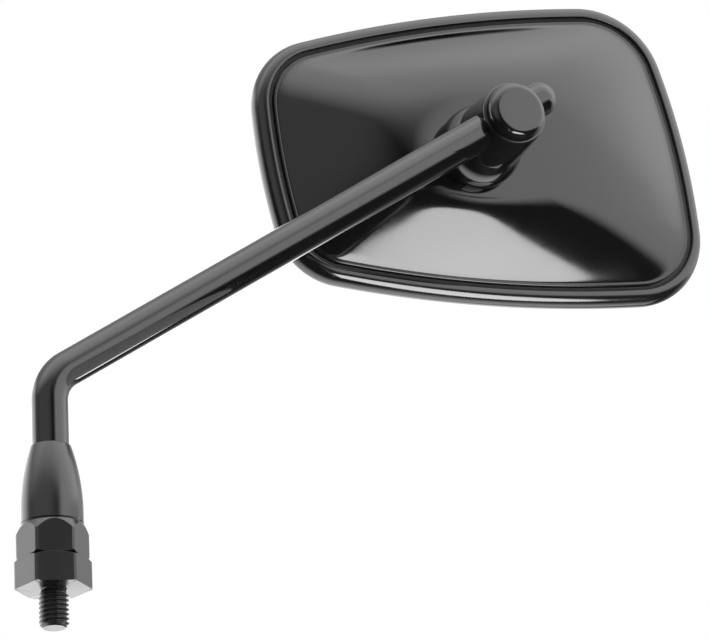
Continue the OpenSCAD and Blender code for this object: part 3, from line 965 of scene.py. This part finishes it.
    def _bezel(self) -> Object:
        """Builds the ring that holds the glass and the shell."""
        back = -self.bezel_back
        front = self._pad_level - self.pad - self.glass
        low = front - self.front_lip
        face = self.bezel_face
        section = rounded([
            (face, self._gasket_level), (face, back - 0.05, 0.4), *self._bezel_corner(),
            (0.0, low, 0.9),
            (self.front_lip_width, low, 0.3), (self.front_lip_width, front),
            (self.bezel_wall, front), (self.bezel_wall, self._gasket_level),
        ], 6)
        rings = [self.outline.ring(i, z) for i, z in section]
        return self._piece("bezel_moulded", rings, SATIN_MOULDED, "bezel", 50)

    def _rim_gasket(self) -> Object:
        """Builds the seal at the bottom of the groove."""
        high = self._gasket_level
        low = high - self.gasket
        inside = self.bezel_face + self.groove - 0.1
        outside = self.bezel_wall + 0.1
        rings = [self.outline.ring(i, z) for i, z in
                 [(inside, low), (inside, high), (outside, high), (outside, low)]]
        return self._piece("rim_seal", rings, SOFT_RUBBER, "rim_gasket")

    def _housing(self) -> Object:
        """Builds the dome and its flange."""
        inner = self.dome_radius - self.dome_wall
        top = self.crown - self.land - 0.6
        collar = self.hole - 0.1
        collar_deg = math.degrees(math.atan2(collar, self.crown))
        outer = arc((0.0, 0.0), self.dome_radius, 90 - self.opening, 90 - collar_deg, 40)
        hollow = arc((0.0, 0.0), inner, 0, 90 - self.opening, 20)
        section = [*outer, (collar, top), (self.flange_radius, top),
                   (self.flange_radius, top - self.flange), (inner, top - self.flange), *hollow]
        rings = revolve(section, 144)
        return self._piece("housing_turned", rings, GLOSS_BLACK, "ball_housing",
                           40)


@dataclass
class Hidden:
    """The solids that stay as they are and only get a finish."""

    finishes: dict[str, Finish] = field(default_factory=lambda: {
        "knuckle_washer": ZINC, "knuckle_nut": ZINC, "ball_stud": ZINC, "joint_spring": ZINC,
        "retainer_plate": ZINC, "retainer_screws": ZINC, "ball_seat": ACETAL,
        "pressure_cup": ACETAL, "boss_gasket": SOFT_RUBBER, "glass_pad": SOFT_RUBBER,
        "glass": SILVERED,
    })

    def dress(self) -> list[Object]:
        """Puts each solid's finish on it.

        Returns:
            The dressed solids.
        """
        out = []
        for node, finish in self.finishes.items():
            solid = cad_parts[node]
            if not solid.data.materials:
                solid.data.materials.append(None)
            for slot in solid.material_slots:
                slot.material = finish.material()
            out.append(solid)
        return out


@dataclass
class Viewpoint:
    """The camera, as it stood for the photograph.

    Attributes:
        azimuth: turn about Z in degrees, 0 looking along +Y.
        elevation: height over the horizon in degrees; below 0 it looks up.
        roll: turn about the line of sight in degrees.
        distance: from the aim point, in millimetres.
        focal_px: focal length in pixels of the picture's width.
        aim: the point at the picture's centre.
    """

    azimuth: float = -21.08
    elevation: float = -19.4
    roll: float = 2.481
    distance: float = 1319.5
    focal_px: float = 4836.0
    aim: Point3 = (87.4, 0.0, 82.0)
    width_px: float = 709.0
    sensor_mm: float = 36.0

    def build(self) -> Object:
        """Builds the camera and makes it the scene's.

        Returns:
            The camera.
        """
        a, e, r = (math.radians(v) for v in (self.azimuth, self.elevation, self.roll))
        right = Vector((math.cos(a), math.sin(a), 0))
        up = Vector((-math.sin(a) * math.sin(e), math.cos(a) * math.sin(e), math.cos(e)))
        back = Vector((math.sin(a) * math.cos(e), -math.cos(a) * math.cos(e), math.sin(e)))
        right, up = (right * math.cos(r) - up * math.sin(r), right * math.sin(r) + up * math.cos(r))
        place = Matrix((right, up, back)).transposed().to_4x4()
        place.translation = (Vector(self.aim) + back * self.distance) * MM
        data = bpy.data.cameras.new("viewpoint")
        data.sensor_fit = "HORIZONTAL"
        data.sensor_width = self.sensor_mm
        data.lens = self.focal_px / self.width_px * self.sensor_mm
        data.clip_start = 0.01
        data.clip_end = 100.0
        camera = bpy.data.objects.new("viewpoint", data)
        camera.matrix_world = place
        bpy.context.scene.collection.objects.link(camera)
        bpy.context.scene.camera = camera
        return camera


@dataclass(frozen=True)
class Light:
    """A soft light of the surround.

    Attributes:
        strength: its brightness.
        toward: azimuth and elevation of its middle; azimuth 0 is the viewer's, 90 the right.
        edge: cosines from there at which it has gone and at which it is full.
        level: elevations at which it has gone and at which it is full, if it fades with height.
        least: brightness that is left where it has gone.
    """

    strength: float
    toward: Point2
    edge: Point2
    level: Point2 | None = None
    least: float = 0.0


@dataclass
class Sky:
    """Nodes that give a brightness for each direction of a world."""

    tree: Tree

    def toward(self, azimuth: float, elevation: float) -> Socket:
        """Gives the cosine between each direction and the one with these angles in degrees."""
        a, e = math.radians(azimuth), math.radians(elevation)
        given = (math.sin(a) * math.cos(e), -math.cos(a) * math.cos(e), math.sin(e))
        each = self.tree.nodes.new("ShaderNodeTexCoord").outputs["Generated"]
        return add_node(self.tree, "ShaderNodeVectorMath", {0: each, 1: given},
                        operation="DOT_PRODUCT").outputs["Value"]

    def light(self, light: Light) -> Socket:
        """Gives a light's brightness."""
        bright = self.fade(self.toward(*light.toward), light.edge, (light.least, light.strength))
        if light.level is None:
            return bright
        gone, full = (math.sin(math.radians(v)) for v in light.level)
        return self.join("MULTIPLY", bright, self.fade(self.toward(0, 90), (gone, full), (0.0, 1.0)))

    def fade(self, value: Socket, source: Point2, target: Point2) -> Socket:
        """Maps a value softly from one range onto another.

        Args:
            value: the value.
            source: its range.
            target: the range that it is mapped onto.

        Returns:
            The socket with the mapped value.
        """
        ends = dict(zip(("From Min", "From Max", "To Min", "To Max"), (*source, *target)))
        return add_node(self.tree, "ShaderNodeMapRange", {"Value": value, **ends},
                        interpolation_type="SMOOTHSTEP").outputs["Result"]

    def join(self, operation: str, first: Socket, second: Socket) -> Socket:
        """Joins two values by a sum such as ADD or MAXIMUM."""
        return add_node(self.tree, "ShaderNodeMath", {0: first, 1: second},
                        operation=operation).outputs["Value"]


@dataclass
class Studio:
    """The pale floor, the soft surround and the white card under the mirror.

    The surround is white to the camera. To the mirror it is a key light above, a side light on the
    right and a bright wall behind, all soft, with a dark side to the left and below.

    Attributes:
        floor_z: height of the floor, in metres.
        floor_size: edge of the square floor, in metres.
        key: the light above.
        side: the light on the right.
        wall: the wall behind.
        ground: the ground behind.
        glow: the weak light on the dark side; the rest of that side keeps its least brightness.
        behind: share of the key and the side that is left toward the back.
        behind_edge: cosines from the back at which that begins and at which it is reached.
        card_glow: brightness of the card.
        card_centre: its centre, in metres.
        card_half: half of its length along x and y.
        card_power: 1 for an ellipse, less for a shape nearer to a rectangle.
        painted_arm_reflection: the dim upright sheet left of the card, seen only in reflections, which
            paints a dim reflection and shade on the arm's lower side; as its x, then the start and end
            of its y and of its z, in metres.
        painted_arm_reflection_glow: brightness of that painted reflection.
        knuckle_painted_shade: corners and height of the dark sheet under the knuckle, in metres; seen
            only in
        reflections, it paints shade on the knuckle's underside and trims the dome's highlight.
    """

    floor_z: float = -0.62
    floor_size: float = 12.0
    key: Light = Light(3.1, (145.0, 62.0), (-0.15, 0.52))
    side: Light = Light(2.7, (102.0, 0.0), (-0.14, 0.17), level=(-13.0, -1.0))
    wall: Light = Light(2.3, (-165.0, 0.0), (0.5, 0.75), level=(40.0, 26.0))
    ground: Light = Light(2.5, (180.0, 0.0), (0.15, 0.5), level=(-35.0, -42.0))
    glow: Light = Light(0.75, (-52.0, 28.0), (0.62, 0.95), least=0.03)
    behind: float = 0.3
    behind_edge: Point2 = (-0.2, 0.5)
    card_glow: float = 12.0
    card_centre: Point3 = (0.208, -0.12, -0.05)
    card_half: Point2 = (0.080, 0.168)
    card_power: float = 0.8
    card_corners: int = 72
    painted_arm_reflection: tuple[float, ...] = (0.105, -0.26, 0.008, -0.045, 0.056)
    painted_arm_reflection_glow: float = 1.3
    knuckle_painted_shade: tuple[float, ...] = (0.121, -0.014, 0.150, 0.0145, 0.132)

    def build(self) -> None:
        """Builds the floor, the sheets and the world."""
        self._floor()
        self._card()
        self._flags()
        self._world()

    def _sheet(self, name: str, corners: Sequence[Point3]) -> Object:
        """Adds a flat sheet of the stage, with its corners in metres."""
        mesh = bpy.data.meshes.new(name)
        mesh.from_pydata(corners, [], [tuple(range(len(corners)))])
        sheet = bpy.data.objects.new(name, mesh)
        bpy.context.scene.collection.objects.link(sheet)
        return sheet

    def _floor(self) -> None:
        """Builds the floor."""
        half = self.floor_size / 2
        square = [(-half, -half), (half, -half), (half, half), (-half, half)]
        floor = self._sheet("floor", [(x, y, self.floor_z) for x, y in square])
        paper = bpy.data.materials.new("floor_paper")
        paper.use_nodes = True
        shader = paper.node_tree.nodes["Principled BSDF"]
        shader.inputs["Base Color"].default_value = (0.86, 0.86, 0.86, 1)
        shader.inputs["Roughness"].default_value = 0.9
        floor.data.materials.append(paper)
        floor.visible_glossy = False

    def _card(self) -> None:
        """Builds the white card that the shell's lower side mirrors."""
        x, y, z = self.card_centre
        corners = []
        for k in range(self.card_corners):
            t = 2 * math.pi * k / self.card_corners
            across, along = (math.copysign(abs(v) ** self.card_power, v)
                             for v in (math.cos(t), math.sin(t)))
            corners.append((x + self.card_half[0] * across, y + self.card_half[1] * along, z))
        self._light_up(self._sheet("white_card", corners), self.card_glow)

    def _flags(self) -> None:
        """Builds the sheets seen only in reflections: the dim one keeps the card out of the arm's gloss
        and paints a dim reflection and shade there, the dark one paints shade under the knuckle.
        """
        # Dim sheet seen only in reflections: painted reflection and shade on the arm's lower side.
        x, y0, y1, z0, z1 = self.painted_arm_reflection
        upright = [(x, y0, z0), (x, y1, z0), (x, y1, z1), (x, y0, z1)]
        # Dark sheet seen only in reflections: painted shade under the knuckle and on the dome's lower
        # side.
        x0, y0, x1, y1, z = self.knuckle_painted_shade
        level = [(x0, y0, z), (x1, y0, z), (x1, y1, z), (x0, y1, z)]
        for name, corners, glow in (("painted_arm_reflection_sheet", upright, self.painted_arm_reflection_glow),
                                    ("painted_shade_sheet", level, self.glow.least)):
            sheet = self._sheet(name, corners)
            self._light_up(sheet, glow)
            # Both sheets light nothing and cast no shadow; they only paint reflections and shade into
            # the gloss.
            sheet.visible_diffuse = False
            sheet.visible_shadow = False

    def _light_up(self, sheet: Object, strength: float) -> None:
        """Gives a sheet an even glow of this strength that the camera doesn't see."""
        glow = bpy.data.materials.new(sheet.name + "_glow")
        glow.use_nodes = True
        tree = glow.node_tree
        tree.nodes.remove(tree.nodes["Principled BSDF"])
        light = add_node(tree, "ShaderNodeEmission", {"Strength": strength})
        tree.links.new(light.outputs["Emission"], tree.nodes["Material Output"].inputs["Surface"])
        sheet.data.materials.append(glow)
        sheet.visible_camera = False

    def _world(self) -> None:
        """Builds the surround."""
        world = bpy.data.worlds.new("surround")
        world.use_nodes = True
        tree = world.node_tree
        sky = Sky(tree)
        behind = sky.fade(sky.toward(180, 0), self.behind_edge, (1.0, self.behind))
        front = sky.join("MULTIPLY", sky.join("MAXIMUM", sky.light(self.key), sky.light(self.side)),
                         behind)
        back = sky.join("MAXIMUM", sky.light(self.wall), sky.light(self.ground))
        bright = sky.join("MAXIMUM", sky.join("ADD", front, back), sky.light(self.glow))
        camera = tree.nodes.new("ShaderNodeLightPath").outputs["Is Camera Ray"]
        seen = add_node(tree, "ShaderNodeMix", {
            "Factor": camera, "A": bright, "B": 1.0})
        tree.links.new(seen.outputs["Result"], tree.nodes["Background"].inputs["Strength"])
        tree.nodes["Background"].inputs["Color"].default_value = (1, 1, 1, 1)
        bpy.context.scene.world = world
        bpy.context.scene.view_settings.view_transform = "Standard"


def main() -> None:
    """Builds the scene."""
    logging.basicConfig(level=logging.INFO, format="%(message)s")
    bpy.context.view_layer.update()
    Viewpoint().build()
    Studio().build()
    for part in (Foot(), Stem(), Knuckle(), Head()):
        for piece in part.build():
            log.info("%s: %d faces", piece.name, len(piece.data.polygons))
    for solid in Hidden().dress():
        log.info("%s: finish %s", solid.name, solid.material_slots[0].material.name)


if __name__ == "__main__":
    main()
